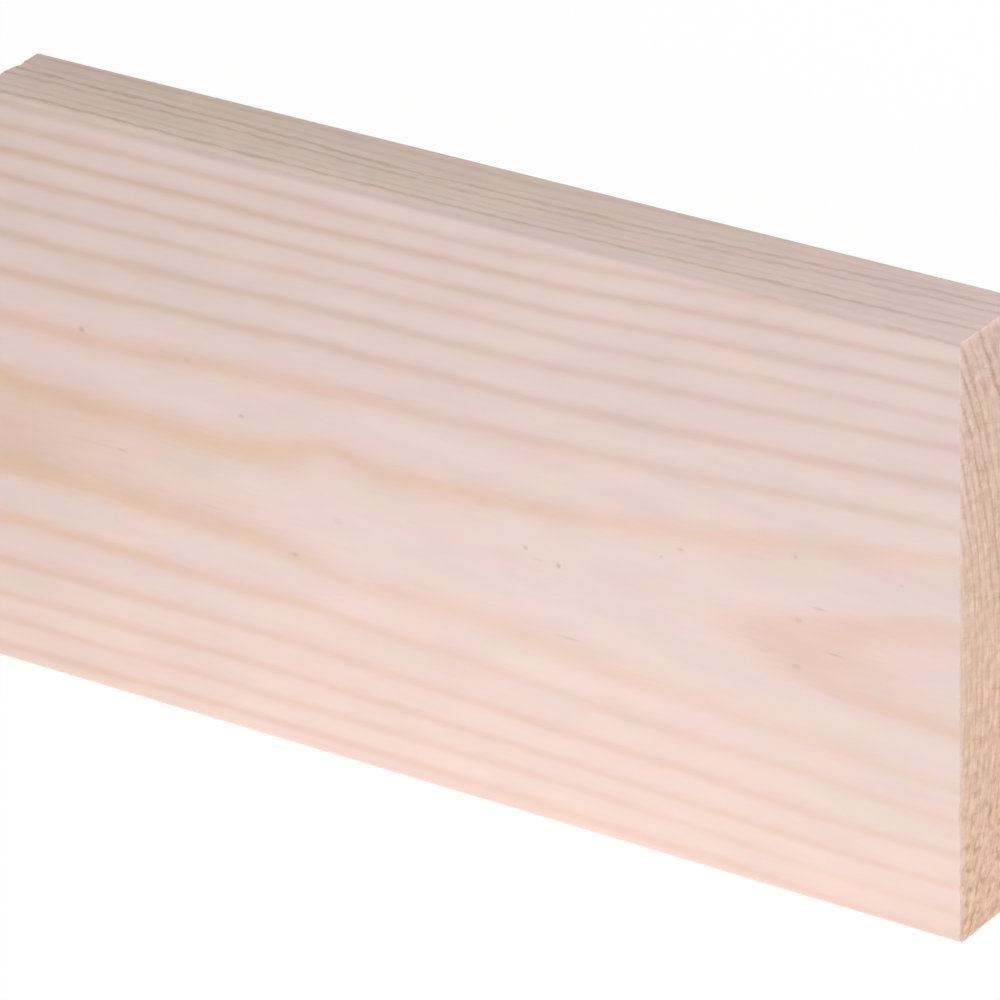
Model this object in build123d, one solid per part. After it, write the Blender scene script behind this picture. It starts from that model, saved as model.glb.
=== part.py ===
"""Square-edged pine moulding: one plank, planed on its four long sides and sawn to length.

The plank lies on its back, with its front face up. X runs along the length, Y from the lower edge
to the upper edge, and Z from the back to the front face. The origin is the middle of the back.
All sizes are in millimetres.
"""

import os

from build123d import *

# Driving dimensions
LENGTH = 175.0  # between the two sawn ends
WIDTH = 95.0  # from the lower edge to the upper edge
THICKNESS = 18.0  # from the back to the front face
FRONT_ARRIS_RADIUS = 0.8  # the two long arrises that show, eased after planing
BACK_ARRIS_RADIUS = 0.5  # the two long arrises that go against the wall


def moulding_section():
    """The planed section: a rectangle whose front arrises are rounder than its back ones.

    It is drawn with the width along its own x and the thickness along its own y.
    """
    with BuildSketch(Plane.YZ) as section:
        Rectangle(WIDTH, THICKNESS, align=(Align.CENTER, Align.MIN))
        fillet(section.vertices().group_by(Axis.Y)[-1], FRONT_ARRIS_RADIUS)
        fillet(section.vertices().group_by(Axis.Y)[0], BACK_ARRIS_RADIUS)
    return section.sketch


def pine_moulding():
    """The section run along the length, with both ends sawn square and left sharp."""
    plank = extrude(moulding_section(), amount=LENGTH / 2, both=True)
    plank.label = "pine_moulding"
    return plank


os.makedirs("parts", exist_ok=True)
export_step(pine_moulding(), "parts/pine_moulding.step")
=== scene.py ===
"""A short length of square-edged pine moulding, lying on its back with its planed front face up."""

import bpy
import numpy as np
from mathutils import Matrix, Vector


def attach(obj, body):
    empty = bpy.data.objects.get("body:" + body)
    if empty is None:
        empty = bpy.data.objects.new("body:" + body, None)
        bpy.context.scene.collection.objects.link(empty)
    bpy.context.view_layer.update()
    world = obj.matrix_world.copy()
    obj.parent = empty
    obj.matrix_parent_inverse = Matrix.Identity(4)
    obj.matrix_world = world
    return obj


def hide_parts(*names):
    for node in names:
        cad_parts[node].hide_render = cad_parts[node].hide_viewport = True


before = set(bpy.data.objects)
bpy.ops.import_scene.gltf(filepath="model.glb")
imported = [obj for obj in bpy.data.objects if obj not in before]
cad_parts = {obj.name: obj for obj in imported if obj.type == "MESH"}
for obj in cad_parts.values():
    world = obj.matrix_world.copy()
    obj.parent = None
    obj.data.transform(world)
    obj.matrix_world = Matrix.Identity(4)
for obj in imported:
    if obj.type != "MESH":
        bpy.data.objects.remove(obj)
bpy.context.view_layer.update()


# The plank: one length of plain-sawn pine, heart side to the front. Its four long sides were run
# through a planer and their arrises eased, and both ends were cut square by a saw and left raw.
# All of its sizes are in millimetres until the mesh is made.
LENGTH = 175.0
WIDTH = 95.0
THICKNESS = 18.0
HALF_LENGTH = LENGTH / 2
HALF_WIDTH = WIDTH / 2
HALF_THICKNESS = THICKNESS / 2
FRONT_ARRIS_RADIUS = 0.8
BACK_ARRIS_RADIUS = 0.5
# Towards the far end the upper front arris is eased by up to this much more.
FAR_EASING = 1.0
MILLIMETRE = 0.001

# The tree that the plank was cut from. Its heart runs in front of the face, a little below the
# middle, and comes nearer towards the near end. Each triple of numbers is the change in proportion
# to the place along the half length, to its square and to its cube.
HEART_HEIGHT = -4.41
HEART_HEIGHT_DRIFT = (0.27, 0.19, 0.51)
HEART_DISTANCE = 98.0
HEART_DISTANCE_DRIFT = (-0.79, -0.37, 0.13)
# Places on the face where the rings bulge, or dip where the lift is negative: the middle along and
# across, the reach along and across, and the lift. All of them fade at one depth.
GRAIN_BENDS = (
    (49.1, 47.0, 20.6, 11.2, 0.38),
    (28.2, 5.7, 122.0, 7.9, -0.46),
    (34.2, -21.0, 93.0, 3.8, 0.21),
    (-17.0, -12.6, 10.8, 7.7, 0.32),
    (19.0, -42.4, 45.0, 6.5, -0.32),
    (-25.2, 22.3, 38.5, 18.7, 0.29),
    (63.9, 22.7, 146.0, 7.9, -0.46),
    (-21.5, 2.2, 6.0, 4.9, 0.25),
    (-42.0, 1.0, 9.0, 4.0, -0.09),
    (48.0, -4.0, 14.0, 9.0, -0.11),
    (66.0, -4.0, 8.0, 7.0, -0.13),
    (66.0, -13.0, 10.0, 4.0, 0.16),
)
# Places where the grain runs a little lower, or higher where the shift is negative, in the same form.
GRAIN_SHIFTS = (
    (-46.0, -2.0, 26.0, 12.0, 0.90),
    (-52.0, -18.0, 14.0, 10.0, 0.45),
    (-20.0, -4.0, 16.0, 9.0, 0.55),
    (-68.0, 12.0, 22.0, 10.0, 0.50),
    (-42.0, 26.0, 12.0, 8.0, 0.45),
    (-24.0, -24.0, 12.0, 7.0, -0.60),
    (28.0, 6.0, 26.0, 6.0, 0.75),
    (50.0, 24.0, 35.0, 12.0, -0.40),
    (45.0, -27.0, 50.0, 11.0, 0.60),
    (65.0, -16.0, 9.0, 6.0, -0.70),
    (64.0, 6.0, 12.0, 5.0, 0.50),
)
GRAIN_DEPTH = 14.0
# One deep dip lies behind the face, beside the upper edge.
EDGE_DIP_MIDDLE = (6.0, 44.6, 7.3)
EDGE_DIP_REACH = (61.7, 10.1, 8.7)
EDGE_DIP = 2.52
# The dark line of each year's growth: its distance from the heart, and how strong it is.
RING_RADII = (
    96.21, 97.49, 98.68, 99.90, 101.49, 103.10, 104.60, 106.16, 108.02, 109.70,
    111.92, 114.45, 116.69, 118.28, 120.22, 122.25, 124.24, 126.53, 128.42, 130.60,
)
RING_STRENGTHS = (
    0.20, 1.22, 0.70, 0.62, 0.76, 0.68, 0.55, 0.71, 0.87, 0.64,
    0.22, 0.88, 0.42, 0.26, 0.70, 0.86, 0.36, 0.36, 0.50, 0.50,
)
FULL_TURN = 2.0 * np.pi
# In the first years the wood darkens slowly and the dark line ends suddenly. Each year's line is a
# little softer than the one before.
RING_LEAN = 0.55
LEANING_YEARS = 1.5
RING_SHARPNESS = 1.85
RING_SOFTENING = 0.035


class Wire:
    """One value in a shader. Arithmetic on it adds Math nodes, and numpy's functions call its methods."""

    # The Mix node's sockets for colours go by number, because several of its sockets share a name.
    MIX_FACTOR = 0
    MIX_START = 6
    MIX_END = 7
    MIXED_COLOUR = 2

    def __init__(self, socket):
        self.socket = socket

    def make(self, kind, settings=None, values=None, result=0):
        """Adds a node beside this wire, sets its settings and then its sockets, and gives one output."""
        tree = self.socket.id_data
        node = tree.nodes.new(kind)
        for name, setting in (settings or {}).items():
            setattr(node, name, setting)
        for name, value in (values or {}).items():
            if isinstance(value, Wire):
                tree.links.new(value.socket, node.inputs[name])
            else:
                node.inputs[name].default_value = value
        return Wire(node.outputs[result])

    def maths(self, operation, first, second=0.0):
        """One Math node on a value or two."""
        return self.make("ShaderNodeMath", {"operation": operation}, {0: first, 1: second})

    def __add__(self, other):
        return self.maths("ADD", self, other)

    def __radd__(self, other):
        return self.maths("ADD", other, self)

    def __sub__(self, other):
        return self.maths("SUBTRACT", self, other)

    def __rsub__(self, other):
        return self.maths("SUBTRACT", other, self)

    def __mul__(self, other):
        return self.maths("MULTIPLY", self, other)

    def __rmul__(self, other):
        return self.maths("MULTIPLY", other, self)

    def __truediv__(self, other):
        return self.maths("DIVIDE", self, other)

    def __rtruediv__(self, other):
        return self.maths("DIVIDE", other, self)

    def __neg__(self):
        return self.maths("MULTIPLY", self, -1.0)

    def sqrt(self):
        return self.maths("SQRT", self)

    def exp(self):
        return self.maths("EXPONENT", self)

    def cos(self):
        return self.maths("COSINE", self)

    def vector_maths(self, operation, values, result="Vector"):
        """One Vector Math node, with the values of its sockets."""
        return self.make("ShaderNodeVectorMath", {"operation": operation}, values, result)

    def axes(self):
        """The x, y and z of this vector."""
        node = self.make("ShaderNodeSeparateXYZ", {}, {"Vector": self}).socket.node
        return [Wire(output) for output in node.outputs]

    def share(self, low, high):
        """0 where this wire is at low or beyond, 1 at high or beyond, and a straight line between."""
        settings = {"clamp": True}
        return self.make("ShaderNodeMapRange", settings, {"Value": self, "From Min": low, "From Max": high})

    def curve(self, places, heights):
        """The height at this value on straight lines through the given places, as a Float Curve."""
        top = max(heights)
        share = self.share(places[0], places[-1])
        bent = share.make("ShaderNodeFloatCurve", {}, {"Factor": 1.0, "Value": share})
        line = bent.socket.node.mapping
        points = line.curves[0].points
        points[0].location = (0.0, heights[0] / top)
        points[-1].location = (1.0, heights[-1] / top)
        for place, height in zip(places[1:-1], heights[1:-1]):
            points.new((place - places[0]) / (places[-1] - places[0]), height / top)
        for point in points:
            point.handle_type = "VECTOR"
        line.update()
        return bent * top

    def hill(self, middle, reach):
        """1 at a middle, and e to the power of -(distance in reaches) squared elsewhere, for this vector."""
        scale = [1.0 / size for size in reach]
        shift = [-place / size for place, size in zip(middle, reach)]
        steps = self.vector_maths("MULTIPLY_ADD", {0: self, 1: scale, 2: shift})
        square = steps.vector_maths("DOT_PRODUCT", {0: steps, 1: steps}, "Value")
        return square.maths("POWER", 1.0 / np.e, square)

    def blend(self, start, end, kind="MIX"):
        """Mixes two colours by this wire: start where it is 0, end (or start times end) where it is 1."""
        settings = {"data_type": "RGBA", "blend_type": kind, "clamp_factor": True}
        values = {self.MIX_FACTOR: self, self.MIX_START: start, self.MIX_END: end}
        return self.make("ShaderNodeMix", settings, values, self.MIXED_COLOUR)


def on_lines(value, places, heights):
    """The height at a value on straight lines through the given places, for arrays and for wires."""
    if isinstance(value, Wire):
        return value.curve(places, heights)
    return np.interp(value, places, heights)


def hill(spot, middle, reach):
    """1 at a middle, and e to the power of -(distance in reaches) squared elsewhere, for points and wires."""
    if isinstance(spot, Wire):
        return spot.hill(middle, reach)
    steps = (spot - np.array(middle)) / np.array(reach)
    return np.exp(-(steps * steps).sum(-1))


def face_hills(spot, places, depth):
    """The sum of smooth hills whose middles lie on the face and which all fade at one depth.

    Each place gives its middle along and across, its reach along and across, and its height.
    """
    return sum(
        height * hill(spot, (along, across, THICKNESS), (reach_along, reach_across, depth))
        for along, across, reach_along, reach_across, height in places
    )


def ring_radius(spot):
    """Distance from the tree's heart to a point of the plank, for arrays of points and for wires.

    The heart is a gently bent line along the length, in front of the face. The distance to it is the
    square root of depth squared plus height squared, less a smooth hill for each bend of the grain and
    plus one for the dip beside the upper edge. The height is counted from the heart, plus a smooth hill
    for each shift of the grain.
    """
    x, y, z = spot.axes() if isinstance(spot, Wire) else spot.T
    along = x / HALF_LENGTH
    drift = HEART_HEIGHT_DRIFT
    heart_height = HEART_HEIGHT + along * (drift[0] + along * (drift[1] + along * drift[2]))
    drift = HEART_DISTANCE_DRIFT
    heart_distance = HEART_DISTANCE + along * (drift[0] + along * (drift[1] + along * drift[2]))
    depth = heart_distance + THICKNESS - z
    height = y - heart_height + face_hills(spot, GRAIN_SHIFTS, GRAIN_DEPTH)
    radius = np.sqrt(depth * depth + height * height) - face_hills(spot, GRAIN_BENDS, GRAIN_DEPTH)
    return radius + EDGE_DIP * hill(spot, EDGE_DIP_MIDDLE, EDGE_DIP_REACH)


def ring_count(radius):
    """Years of growth at a distance from the heart: straight lines between the dark lines."""
    return on_lines(radius, RING_RADII, range(len(RING_RADII)))


def latewood(years):
    """How dark and dense the wood is after so many years, 0 for spring wood.

    The years become an angle. The wood is darkest at a whole year: e to the power of sharpness times
    (cosine - 1), of the angle plus lean times (1 - cosine of the angle), times the ring's strength.
    The lean makes the wood darken slowly before the line and turn pale soon after it. It fades as e to
    the power of -years / leaning years, and the sharpness falls by the same amount each year.
    """
    angle = years * FULL_TURN
    lean = RING_LEAN * np.exp(-(years / LEANING_YEARS))
    leaning = angle + lean * (1.0 - np.cos(angle))
    sharpness = RING_SHARPNESS - RING_SOFTENING * years
    strength = on_lines(years, range(len(RING_RADII)), RING_STRENGTHS)
    return strength * np.exp(sharpness * (np.cos(leaning) - 1.0))


# The skin of the plank is the outside of a grid of stations along, across and through it, which
# crowd towards the arrises. Faces that meet at more than the arris angle, in degrees, show an edge.
STATIONS_ALONG = 81
STATIONS_ACROSS = 301
STATIONS_THROUGH = 61
CROWDING_ALONG = 2.2
CROWDING_ACROSS = 0.9
ARRIS_ANGLE = 50.0
# Planing leaves the soft spring wood a little lower than the hard lines of the rings.
PLANED_SINK = 0.03
# The saw tears the end grain: slanting kerf lines, sunk spring wood and pits where fibres came out.
KERF_PITCH = 1.15
KERF_SLOPE = -0.30
KERF_DEPTH = 0.012
SPRING_WOOD_TEAR = 0.08
PIT_CELLS = (0.9, 0.45)
PIT_DEPTHS = (0.12, 0.08)
PIT_STEEPNESS = 3
PIT_SEED = 14
# The arrises of the sawn ends are ragged, and pale where the saw broke their fibres. The random heights
# run on round the rim's corners, and differ between the two ends.
RAGGED_CELLS = (2.6, 0.8)
RAGGED_DEPTHS = (0.10, 0.08)
RAGGED_REACH = 1.0
RAGGED_REACH_ALONG = 2.0
RAGGED_SEED = 7
RIM_EASE = 0.12
RIM_WRAP = 2.0
PALE_RIM = 0.50
END_OFFSET = 7.0
# Larger splinters are gone from these arrises: end, place across, place through, reach and depth.
NEAR_END = 1
FAR_END = -1
SPLINTERS = (
    (NEAR_END, 33.2, THICKNESS, 1.8, 0.25),
    (NEAR_END, 8.3, THICKNESS, 1.6, 0.20),
    (NEAR_END, -26.5, THICKNESS, 1.8, 0.25),
    (FAR_END, HALF_WIDTH, 4.0, 8.0, 0.70),
    (FAR_END, HALF_WIDTH, 5.2, 1.0, 0.45),
    (FAR_END, HALF_WIDTH, 10.6, 1.0, 0.45),
)
LATTICE = 256
TINY = 1e-9


def stations(count, half, crowding):
    """Places from -half to half, evenly spaced in u, at half times tanh(crowding u) / tanh(crowding)."""
    u = np.linspace(-1.0, 1.0, count)
    return half * np.tanh(crowding * u) / np.tanh(crowding)


def rough(u, v, cell, seed):
    """Smooth random heights from 0 to 1: random lattice values, blended between the four corners of
    each cell by the S-curve 3 f squared - 2 f cubed."""
    values = np.random.default_rng(seed).random((LATTICE, LATTICE))
    i = np.floor(u / cell).astype(int)
    j = np.floor(v / cell).astype(int)
    f = u / cell - i
    g = v / cell - j
    f = f * f * (3.0 - 2.0 * f)
    g = g * g * (3.0 - 2.0 * g)
    left = i % LATTICE
    right = (i + 1) % LATTICE
    low = j % LATTICE
    high = (j + 1) % LATTICE
    lower = values[left, low] * (1 - f) + values[right, low] * f
    upper = values[left, high] * (1 - f) + values[right, high] * f
    return lower * (1 - g) + upper * g


def grid_skin(shape):
    """The outside of a grid of points: a mask of its surface points, and quads that face outwards.

    The points are numbered in the grid's order. Each side is a sheet of numbers with one index held,
    and a quad joins four neighbours on it, turned the other way round on the lower side.
    """
    numbers = np.full(shape, -1)
    outside = np.ones(shape, bool)
    outside[1:-1, 1:-1, 1:-1] = False
    numbers[outside] = np.arange(outside.sum())
    quads = []
    for axis in range(numbers.ndim):
        for side in (0, -1):
            sheet = np.take(numbers, side, axis=axis)
            corners = (sheet[:-1, :-1], sheet[1:, :-1], sheet[1:, 1:], sheet[:-1, 1:])
            turned = (side == 0) != (axis == 1)
            order = (0, 3, 2, 1) if turned else (0, 1, 2, 3)
            quads.append(np.stack([corners[k] for k in order], -1).reshape(-1, len(corners)))
    return outside, np.concatenate(quads)


def plank_surface():
    """Points and quads of the plank, in millimetres, and how raw the wood is at each point.

    A box grid has the corner squares of its section drawn in to quarter discs: from an arris's centre
    a point keeps its larger offset as its distance. The long sides then sink a little where the wood
    is soft. The ends sink by kerf lines, tears and pits, and near an end the long sides follow its
    ragged rim by an amount that fades as e to the power of -distance / reach. On a sawn end the wood is
    raw by 1 - e to the power of -(distance from its rim / pale rim), and the long sides aren't raw.
    """
    shape = (STATIONS_ALONG, STATIONS_ACROSS, STATIONS_THROUGH)
    outside, quads = grid_skin(shape)
    grid = np.meshgrid(
        stations(STATIONS_ALONG, HALF_LENGTH, CROWDING_ALONG),
        stations(STATIONS_ACROSS, HALF_WIDTH, CROWDING_ACROSS),
        stations(STATIONS_THROUGH, HALF_THICKNESS, CROWDING_ACROSS),
        indexing="ij",
    )
    x, y, w = (axis[outside] for axis in grid)
    to_end = HALF_LENGTH - np.abs(x)
    at_end = to_end < TINY

    from_near_end = (HALF_LENGTH - x) / LENGTH
    eased = FRONT_ARRIS_RADIUS + FAR_EASING * from_near_end * from_near_end * (y > 0)
    radius = np.where(w > 0, eased, BACK_ARRIS_RADIUS)
    a = np.maximum(np.abs(y) - (HALF_WIDTH - radius), 0.0)
    b = np.maximum(np.abs(w) - (HALF_THICKNESS - radius), 0.0)
    reach = np.maximum(np.hypot(a, b), TINY)
    drawn = np.maximum(a, b) / reach
    y = np.where(a > 0, np.sign(y) * (HALF_WIDTH - radius + a * drawn), y)
    w = np.where(b > 0, np.sign(w) * (HALF_THICKNESS - radius + b * drawn), w)
    z = w + HALF_THICKNESS

    soft = np.clip(1.0 - latewood(ring_count(ring_radius(np.stack([x, y, z], -1)))), 0.0, 1.0)
    on_side = np.maximum(a, b) > radius - TINY
    sink = PLANED_SINK * soft * on_side
    y = y - np.sign(y) * sink * a / reach
    z = z - np.sign(w) * sink * b / reach

    end = np.sign(x)
    ragged = RIM_EASE + sum(
        depth * rough(y + RIM_WRAP * z, z + END_OFFSET * end, cell, RAGGED_SEED + k)
        for k, (cell, depth) in enumerate(zip(RAGGED_CELLS, RAGGED_DEPTHS))
    )
    for side, across, through, size, depth in SPLINTERS:
        gap = np.hypot(y - across, z - through) / size
        ragged = ragged + depth * np.exp(-gap * gap) * (end == side)
    rim_gap = np.maximum(np.minimum(HALF_WIDTH - np.abs(y), HALF_THICKNESS - np.abs(w)), 0.0)
    ragged = ragged * np.exp(-to_end / RAGGED_REACH_ALONG - rim_gap / RAGGED_REACH)

    kerf = (1.0 + np.sin(FULL_TURN * (y + KERF_SLOPE * z) / KERF_PITCH)) / 2
    torn = KERF_DEPTH * kerf + SPRING_WOOD_TEAR * soft
    for k, (cell, depth) in enumerate(zip(PIT_CELLS, PIT_DEPTHS)):
        torn = torn + depth * rough(y + END_OFFSET * end, z, cell, PIT_SEED + k) ** PIT_STEEPNESS
    x = x - end * (ragged + torn * at_end)
    raw = at_end * (1.0 - np.exp(-rim_gap / PALE_RIM))
    return np.stack([x, y, z], -1), quads, raw


points, quads, raw = plank_surface()
plank_mesh = bpy.data.meshes.new("pine_plank")
plank_mesh.from_pydata((points * MILLIMETRE).tolist(), [], quads.tolist())
plank_mesh.polygons.foreach_set("use_smooth", np.ones(len(quads), bool))
end_grain = plank_mesh.attributes.new("end_grain", "FLOAT", "POINT")
end_grain.data.foreach_set("value", raw.astype(np.float32))
plank_mesh.set_sharp_from_angle(angle=np.radians(ARRIS_ANGLE))
plank = bpy.data.objects.new("pine_plank", plank_mesh)
bpy.context.scene.collection.objects.link(plank)

# Bare planed pine. The spring wood is pale pink, and warmer towards the lower edge. A pair of numbers
# after a colour says where it comes in: from the first number to the second, along, across or through
# the plank in millimetres, or in years of growth.
SPRING_WOOD = (0.828, 0.657, 0.609, 1.0)
LOWER_SPRING_WOOD = (0.852, 0.655, 0.577, 1.0)
LOWER_SPRING = (-12.0, -44.0)
# Each year's summer wood darkens it: yellow near the heart, and browner towards the upper edge and in
# the outer years; towards the lower edge it is painted paler, as painted light where the face is lit
# brightest. It is stronger towards the far end. The first years fade towards the near end, and the
# slant says how much further along the fade starts for each millimetre up the face.
PAINTED_LIGHT_SUMMER_TINT = (0.922, 0.838, 0.786, 1.0)
UPPER_SUMMER_TINT = (0.860, 0.774, 0.716, 1.0)
LOWER_TO_UPPER = (-25.0, 25.0)
FAR_SUMMER_TINT = (0.868, 0.791, 0.671, 1.0)
FAR_SUMMER = (0.0, -60.0)
HEART_SUMMER_TINT = (0.930, 0.800, 0.625, 1.0)
HEART_YEARS = (3.2, 2.2)
FIRST_SUMMER_TINT = (0.915, 0.765, 0.625, 1.0)
FIRST_YEARS = (1.7, 1.3)
OUTER_SUMMER_TINT = (0.745, 0.695, 0.660, 1.0)
OUTER_YEARS = (9.5, 11.0)
SUMMER_ALONG = (-HALF_LENGTH, -22.0, 22.0, HALF_LENGTH)
SUMMER_ALONG_STRENGTHS = (1.15, 1.00, 0.87, 0.82)
HEART_FADE = 0.42
HEART_FADING = (0.0, 45.0)
HEART_SLANT = 3.7
# The eased upper arris has a painted highlight towards the far end, where its rounding catches the
# light, the upper edge yellows below it, and the wood nearest to the heart is darker at the far end.
ARRIS_HIGHLIGHT = (1.150, 1.150, 1.130, 1.0)
ARRIS_HIGHLIGHT_MIDDLE = (-HALF_LENGTH, 47.2, 17.0)
ARRIS_HIGHLIGHT_REACH = (90.0, 1.0, 1.9)
FAR_EDGE_TINT = (1.000, 1.005, 0.945, 1.0)
FAR_EDGE = (110.0, -40.0)
EDGE = (46.2, 47.3)
UNDER_ARRIS = (17.5, 15.5)
OLD_HEART = (0.965, 0.900, 0.855, 1.0)
OLD_HEART_MIDDLE = (-HALF_LENGTH, -7.0, THICKNESS)
OLD_HEART_REACH = (22.0, 6.0, 9.0)
# Streaks of noise, with their sizes as cells for each millimetre: the rings wander and feather, fibres
# and clouds darken the wood, and a mottle changes its three colours apart.
SMOOTH_NOISE = 1.0
FINE_NOISE = 2.0
NOISE_MIDDLE = 0.5
WANDER_SIZE = (1 / 22.0, 1 / 5.0, 1 / 5.0)
WANDER = 1.3
DEEP_WANDER = 3.0
FEATHER_SIZE = (1 / 3.5, 1 / 0.6, 1 / 0.6)
FEATHER_SHIFT = 0.16
EDGE_FEATHER_SHIFT = 1.50
END_FEATHER_SHIFT = 0.84
FIBRE_SIZE = (1 / 11.0, 1 / 0.22, 1 / 0.22)
FIBRE_RANGE = (0.5, 1.0)
FIBRE_DARKENING = 0.04
EDGE_FIBRE_DARKENING = 0.08
CLOUD_SIZE = (1 / 16.0, 1 / 4.0, 1 / 4.0)
CLOUD_RANGE = (0.25, 0.75)
CLOUD_DARKENING = 0.055
MOTTLE_SIZE = (1 / 14.0, 1 / 5.0, 1 / 5.0)
MOTTLE_RANGE = (0.10, 0.10, 0.10)
MOTTLE_LEAST = (0.95, 0.95, 0.95)
BLACK = (0.0, 0.0, 0.0, 1.0)
# Resin specks and hairlines on the face: along, across, half length, half width and strength.
SPECKS = (
    (-67.2, 13.0, 0.55, 0.45, 0.40), (-37.8, 5.8, 0.45, 0.30, 0.42), (13.1, -3.0, 0.35, 0.30, 0.40),
    (15.5, -4.4, 0.90, 0.20, 0.15), (18.9, -4.4, 0.40, 0.35, 0.42), (-20.8, -7.4, 0.60, 0.45, 0.15),
    (-28.8, -15.0, 0.55, 0.35, 0.32), (-47.5, 12.6, 0.45, 0.35, 0.14), (60.3, -2.4, 0.60, 0.40, 0.28),
    (59.9, -10.0, 0.70, 0.40, 0.20), (59.9, 7.6, 0.45, 0.35, 0.28), (36.9, 1.7, 0.25, 0.25, 0.30),
    (40.3, 3.7, 0.55, 0.30, 0.28), (77.7, 7.6, 0.35, 0.25, 0.18), (63.8, 0.3, 1.40, 0.18, 0.28),
    (66.4, -6.4, 1.30, 0.18, 0.30), (20.3, -15.9, 1.70, 0.18, 0.25), (-60.8, -5.5, 0.70, 0.20, 0.22),
    (-66.0, -5.6, 5.00, 0.20, 0.08), (-44.7, -10.9, 2.00, 0.20, 0.10),
)
SPECK_DEPTH = 0.8
RESIN = (0.330, 0.210, 0.160, 1.0)
# The sawn ends are browner, and more orange towards the lower edge. Their fibres stand as short dashes
# along the rings, in pale and dark patches, between saw scars and open pits darkened by painted shade,
# with a stain at one corner.
END_WOOD = (0.745, 0.565, 0.484, 1.0)
LOW_END_WOOD = (0.838, 0.598, 0.464, 1.0)
LOW_END = (42.0, -30.0)
END_SUMMER_TINT = (0.650, 0.550, 0.490, 1.0)
LOW_END_RINGS = 0.30
DASH_SIZE = (1 / 0.60, 1 / 4.0, 0.0)
DASH_RANGE = (0.30, 0.70)
DARK_DASH = (0.870, 0.845, 0.810, 1.0)
PALE_DASH = (1.080, 1.075, 1.060, 1.0)
PATCH_SIZE = (0.0, 1 / 1.6, 1 / 2.6)
PATCH_RANGE = (0.35, 0.65)
DARK_PATCH = (0.940, 0.925, 0.905, 1.0)
PALE_PATCH = (1.045, 1.060, 1.075, 1.0)
SCAR_SIZE = (0.0, 1 / 0.5, 1 / 5.0)
SCAR_RANGE = (0.58, 0.85)
SCAR_TINT = (0.820, 0.770, 0.700, 1.0)
PIT_SHADE_SIZE = (0.0, 1 / 1.5, 1 / 1.2)
PIT_SHADE_RANGE = (0.48, 0.78)
PIT_SHADE_TINT = (0.700, 0.590, 0.500, 1.0)
PIT_SHADED_ACROSS = (-5.0, -36.0)
STAIN = (1.040, 0.860, 0.780, 1.0)
STAIN_MIDDLE = (HALF_LENGTH, -47.3, 12.0)
STAIN_REACH = (2.0, 1.4, 8.0)
# The planed sides have a soft sheen, a little more of it on the summer wood, and the raw ends are matt.
PLANED_ROUGHNESS = 0.62
SUMMER_GLOSS = 0.10
END_ROUGHNESS = 0.25
FIBRE_BUMP = 0.03
BUMP_STRENGTH = 0.4
SPECULAR = 0.25

pine = bpy.data.materials.new("planed_pine")
pine.use_nodes = True
tree = pine.node_tree
surface = tree.nodes["Principled BSDF"]
surface.inputs["Specular IOR Level"].default_value = SPECULAR

start = Wire(tree.nodes.new("ShaderNodeTexCoord").outputs["Object"])
place = start.vector_maths("SCALE", {0: start, "Scale": 1.0 / MILLIMETRE})
x, y, z = place.axes()


def streaks(size, detail, spot=place, result="Fac"):
    """Noise from 0 to 1 in cells of this size, given as cells for each millimetre along each axis."""
    stretched = spot.vector_maths("MULTIPLY", {0: spot, 1: size})
    return spot.make("ShaderNodeTexNoise", {}, {"Vector": stretched, "Scale": 1.0, "Detail": detail}, result)


wander = streaks(WANDER_SIZE, SMOOTH_NOISE, place, "Color")
aside, deeper = wander.axes()[1:]
bent_y = y + WANDER * (aside - NOISE_MIDDLE)
bent_z = z + DEEP_WANDER * (deeper - NOISE_MIDDLE) * (1.0 - z / THICKNESS)
bent = wander.make("ShaderNodeCombineXYZ", {}, {"X": x, "Y": bent_y, "Z": bent_z})
feather = streaks(FEATHER_SIZE, FINE_NOISE)
fibre = streaks(FIBRE_SIZE, FINE_NOISE)
cloud = streaks(CLOUD_SIZE, FINE_NOISE)
mottle = streaks(MOTTLE_SIZE, FINE_NOISE, place, "Color")
radius = ring_radius(bent)
sawn = place.make("ShaderNodeAttribute", {"attribute_name": "end_grain"}, {}, "Fac")
edge = y.share(*EDGE)
feathered = FEATHER_SHIFT + EDGE_FEATHER_SHIFT * edge + END_FEATHER_SHIFT * sawn
years = ring_count(radius + feathered * (feather - NOISE_MIDDLE))
summer = latewood(years) * on_lines(x, SUMMER_ALONG, SUMMER_ALONG_STRENGTHS)
faded = years.share(*HEART_YEARS) * (x - HEART_SLANT * y).share(*HEART_FADING)
summer = summer * (1.0 - HEART_FADE * faded)
far_summer = x.share(*FAR_SUMMER)
upper_tint = far_summer.blend(UPPER_SUMMER_TINT, FAR_SUMMER_TINT)
# Painted light: the summer wood is paler towards the lower edge, where the face is lit brightest.
tint = y.share(*LOWER_TO_UPPER).blend(PAINTED_LIGHT_SUMMER_TINT, upper_tint)
tint = (years - far_summer).share(*HEART_YEARS).blend(tint, HEART_SUMMER_TINT)
tint = years.share(*FIRST_YEARS).blend(tint, FIRST_SUMMER_TINT)
tint = years.share(*OUTER_YEARS).blend(tint, OUTER_SUMMER_TINT)
spring = y.share(*LOWER_SPRING).blend(SPRING_WOOD, LOWER_SPRING_WOOD)
long_grain = summer.blend(spring, tint, "MULTIPLY")
# Painted highlight: the eased upper arris is lighter towards the far end, where its rounding catches the
# light.
arris_highlight = hill(place, ARRIS_HIGHLIGHT_MIDDLE, ARRIS_HIGHLIGHT_REACH)
long_grain = arris_highlight.blend(long_grain, ARRIS_HIGHLIGHT, "MULTIPLY")
old_heart = hill(place, OLD_HEART_MIDDLE, OLD_HEART_REACH)
long_grain = old_heart.blend(long_grain, OLD_HEART, "MULTIPLY")
far_edge = edge * x.share(*FAR_EDGE) * z.share(*UNDER_ARRIS)
long_grain = far_edge.blend(long_grain, FAR_EDGE_TINT, "MULTIPLY")

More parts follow.
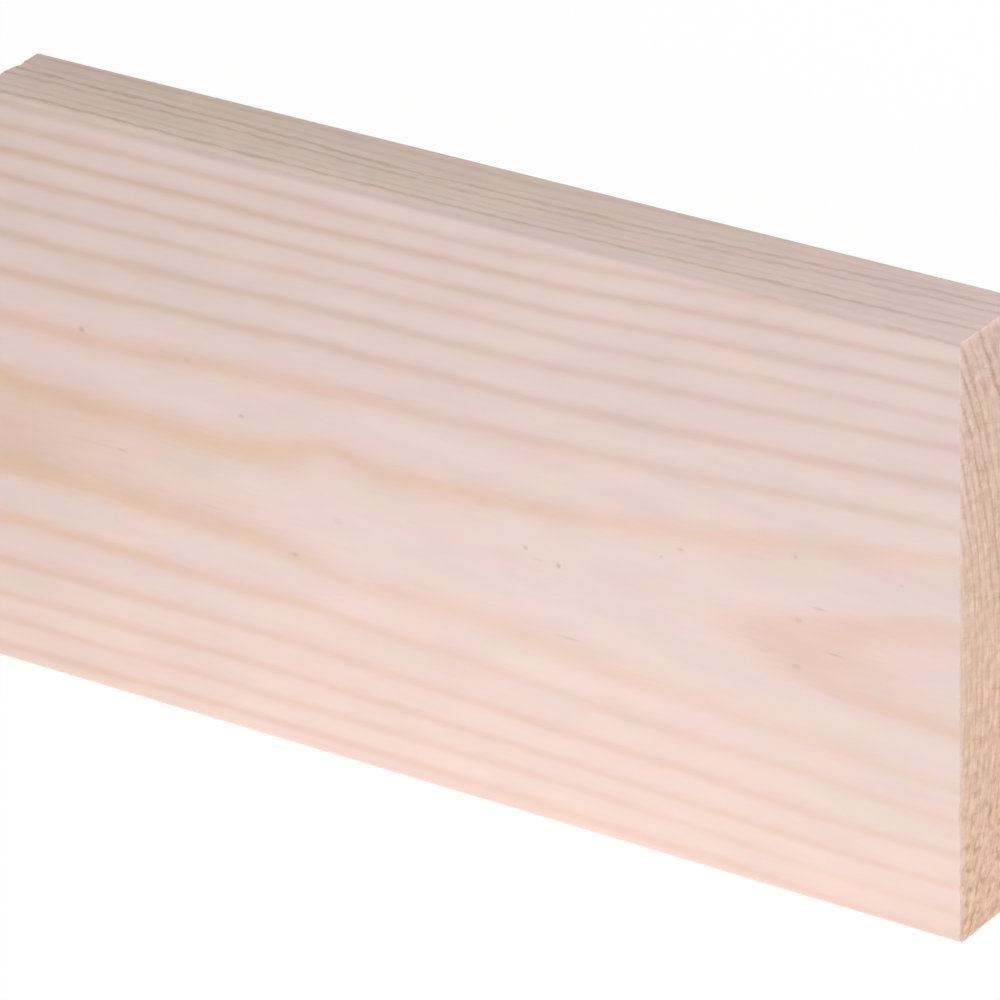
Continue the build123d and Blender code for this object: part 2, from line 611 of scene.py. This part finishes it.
ring_place = place.make("ShaderNodeCombineXYZ", {}, {"X": radius, "Y": y, "Z": z})
slant_place = place.make("ShaderNodeCombineXYZ", {}, {"X": x, "Y": y + KERF_SLOPE * z, "Z": z})
dash = streaks(DASH_SIZE, FINE_NOISE, ring_place).share(*DASH_RANGE)
patch = streaks(PATCH_SIZE, SMOOTH_NOISE).share(*PATCH_RANGE)
scar = streaks(SCAR_SIZE, FINE_NOISE, slant_place).share(*SCAR_RANGE)
# Painted shade: dark spots stand for the shade inside open pits of the end grain, more of them towards the
# lower edge.
pit_shade = streaks(PIT_SHADE_SIZE, SMOOTH_NOISE).share(*PIT_SHADE_RANGE) * y.share(*PIT_SHADED_ACROSS)
low_end = y.share(*LOW_END)
end_colour = low_end.blend(END_WOOD, LOW_END_WOOD)
end_rings = summer * (1.0 - (1.0 - LOW_END_RINGS) * low_end)
end_colour = end_rings.blend(end_colour, END_SUMMER_TINT, "MULTIPLY")
end_colour = sawn.blend(end_colour, dash.blend(DARK_DASH, PALE_DASH), "MULTIPLY")
end_colour = sawn.blend(end_colour, patch.blend(DARK_PATCH, PALE_PATCH), "MULTIPLY")
end_colour = scar.blend(end_colour, SCAR_TINT, "MULTIPLY")
end_colour = pit_shade.blend(end_colour, PIT_SHADE_TINT, "MULTIPLY")
end_colour = hill(place, STAIN_MIDDLE, STAIN_REACH).blend(end_colour, STAIN, "MULTIPLY")
colour = sawn.blend(long_grain, end_colour)

fibrous = FIBRE_DARKENING + EDGE_FIBRE_DARKENING * edge
shade = fibrous * fibre.share(*FIBRE_RANGE) + CLOUD_DARKENING * cloud.share(*CLOUD_RANGE)
colour = shade.blend(colour, BLACK)
mottled = mottle.vector_maths("MULTIPLY_ADD", {0: mottle, 1: MOTTLE_RANGE, 2: MOTTLE_LEAST})
colour = mottled.vector_maths("MULTIPLY", {0: mottled, 1: colour})
colour = face_hills(place, SPECKS, SPECK_DEPTH).blend(colour, RESIN)
tree.links.new(colour.socket, surface.inputs["Base Color"])
roughness = PLANED_ROUGHNESS - SUMMER_GLOSS * summer + END_ROUGHNESS * sawn
tree.links.new(roughness.socket, surface.inputs["Roughness"])
bump_values = {"Strength": BUMP_STRENGTH, "Distance": FIBRE_BUMP * MILLIMETRE, "Height": fibre}
bump = fibre.make("ShaderNodeBump", {}, bump_values)
tree.links.new(bump.socket, surface.inputs["Normal"])

plank_mesh.materials.append(pine)
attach(plank, "root")
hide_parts("pine_moulding")


# The floor: a wide white studio table that the plank lies on. It looks white to the camera and keeps
# a soft trace of the plank's shadow.
FLOOR_HALF = 3.0
FLOOR_DROP = 0.0002
FLOOR_WHITE = (0.95, 0.95, 0.95, 1.0)
FLOOR_GLOW_SHARE = 0.975
WHITE = (1.0, 1.0, 1.0, 1.0)
floor_mesh = bpy.data.meshes.new("studio_floor")
corners = FLOOR_HALF * np.array([(-1, -1), (1, -1), (1, 1), (-1, 1)], float)
floor_points = np.c_[corners, np.full(len(corners), -FLOOR_DROP)]
floor_mesh.from_pydata(floor_points.tolist(), [], [list(range(len(corners)))])
floor = bpy.data.objects.new("studio_floor", floor_mesh)
bpy.context.scene.collection.objects.link(floor)


def watched_share(tree):
    """1 for rays that the camera sees, straight, mirrored or through glass, and 0 for all others."""
    seen = Wire(tree.nodes.new("ShaderNodeLightPath").outputs["Is Camera Ray"])
    mirrored = Wire(seen.socket.node.outputs["Is Glossy Ray"])
    through = Wire(seen.socket.node.outputs["Is Transmission Ray"])
    return (seen + mirrored + through).share(0.0, 1.0)


white = bpy.data.materials.new("white_table")
white.use_nodes = True
tree = white.node_tree
tree.nodes.clear()
watched = watched_share(tree)
matt = watched.make("ShaderNodeBsdfDiffuse", {}, {"Color": FLOOR_WHITE})
glow = watched.make("ShaderNodeEmission", {}, {"Color": WHITE, "Strength": 1.0})
mixed = watched.make("ShaderNodeMixShader", {}, {0: watched * FLOOR_GLOW_SHARE, 1: matt, 2: glow})
output = tree.nodes.new("ShaderNodeOutputMaterial")
tree.links.new(mixed.socket, output.inputs["Surface"])
floor_mesh.materials.append(white)


# The light: a soft box close to the lower edge, which shades the face gently from its lower edge to
# its upper one, a larger one beyond the near end and the upper edge, a faint one low beyond the upper
# edge, and an even white room.
KEY_PLACE = (0.0, -0.20, 0.23)
KEY_SIZE = 0.20
KEY_POWER = 0.58
FILL_PLACE = (0.48, 0.29, 0.27)
FILL_SIZE = 0.40
FILL_POWER = 1.66
EDGE_PLACE = (-0.25, 0.45, 0.14)
EDGE_SIZE = 0.30
EDGE_POWER = 0.09
AIM = (0.0, 0.0, THICKNESS * MILLIMETRE)
ROOM_LIGHT = 0.40


def soft_box(name, place, size, power):
    """A square lamp of this size at a place, facing the plank and hidden from the camera."""
    lamp = bpy.data.lights.new(name, "AREA")
    lamp.size = size
    lamp.energy = power
    holder = bpy.data.objects.new(name, lamp)
    bpy.context.scene.collection.objects.link(holder)
    holder.location = place
    facing = Vector(AIM) - Vector(place)
    holder.rotation_euler = facing.to_track_quat("-Z", "Y").to_euler()
    holder.visible_camera = False


soft_box("key_light", KEY_PLACE, KEY_SIZE, KEY_POWER)
soft_box("fill_light", FILL_PLACE, FILL_SIZE, FILL_POWER)
soft_box("edge_light", EDGE_PLACE, EDGE_SIZE, EDGE_POWER)
room = bpy.data.worlds.new("studio_room")
bpy.context.scene.world = room
room.use_nodes = True
tree = room.node_tree
tree.nodes.clear()
watched = watched_share(tree)
strength = ROOM_LIGHT + (1.0 - ROOM_LIGHT) * watched
sky = watched.make("ShaderNodeBackground", {}, {"Color": WHITE, "Strength": strength})
output = tree.nodes.new("ShaderNodeOutputWorld")
tree.links.new(sky.socket, output.inputs["Surface"])


# The camera: a long lens that looks down on the face from the near end and the upper edge, with the
# upper edge at the top of the picture.
CAMERA_PLACE = (0.5933, 0.4986, 0.8483)
CAMERA_TURN = (-27.0614, 34.3680, -1.8872)
LENS = 278.708
SENSOR = 36.0
NEAREST = 0.01
lens = bpy.data.cameras.new("camera")
lens.sensor_width = SENSOR
lens.lens = LENS
lens.clip_start = NEAREST
camera = bpy.data.objects.new("camera", lens)
bpy.context.scene.collection.objects.link(camera)
camera.location = CAMERA_PLACE
camera.rotation_euler = np.radians(CAMERA_TURN)
bpy.context.scene.camera = camera
bpy.context.scene.view_settings.view_transform = "Standard"
